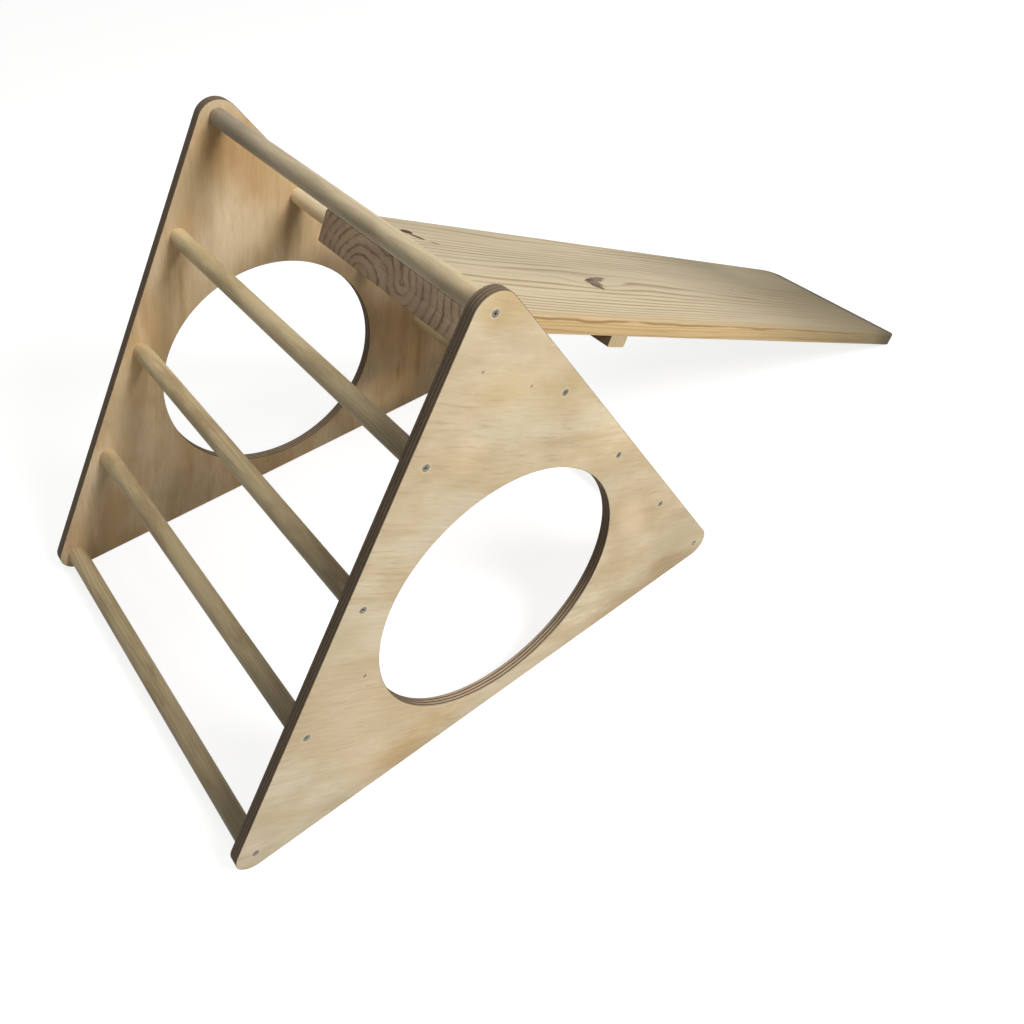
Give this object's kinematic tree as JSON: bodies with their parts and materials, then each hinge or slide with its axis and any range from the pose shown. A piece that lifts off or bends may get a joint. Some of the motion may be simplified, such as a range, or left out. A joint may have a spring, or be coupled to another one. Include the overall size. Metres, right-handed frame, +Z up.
{
  "type": "toddler slide",
  "caption": "Wooden climbing triangle for toddlers: plywood sides with round crawl holes, dowel rungs, and a plank slide hooked over an upper rung.",
  "frame": {"origin": "middle of the whole object's footprint, on the floor", "axes": "+X from the climbing side to the foot of the slide, +Y from the near side panel to the far one, +Z up"},
  "size_m": [1.6305, 0.66, 0.7017],
  "materials": {
    "panel_plywood": "sanded softwood plywood, oiled, with dark laminated edges",
    "rung_wood": "smooth pale dowel, light oil",
    "board_wood": "planed greyish pine, long fine grain",
    "cleat_wood": "planed pine",
    "screw_zinc": "bright zinc plate"
  },
  "bodies": {
    "climbing_frame": {"side_panel_near": "panel_plywood", "side_panel_far": "panel_plywood", "top_rung": "rung_wood", "front_rung_1": "rung_wood", "front_rung_2": "rung_wood", "front_rung_3": "rung_wood", "front_rung_4": "rung_wood", "back_rung_1": "rung_wood", "back_rung_2": "rung_wood", "back_rung_3": "rung_wood", "back_rung_4": "rung_wood", "near_front_screws": "screw_zinc", "near_back_screws": "screw_zinc", "near_apex_screw": "screw_zinc", "far_front_screws": "screw_zinc", "far_back_screws": "screw_zinc", "far_apex_screw": "screw_zinc"},
    "slide": {"slide_board": "board_wood", "upper_cleat": "cleat_wood", "lower_cleat": "cleat_wood", "upper_cleat_screws": "screw_zinc", "lower_cleat_screws": "screw_zinc"}
  },
  "joints": [
    {"name": "slide_lift", "type": "hinge", "parent": "climbing_frame", "child": "slide", "pos_m": [-0.28078, 0, 0.51817], "axis": [0, -1, 0], "range_deg": [0, 60]}
  ]
}
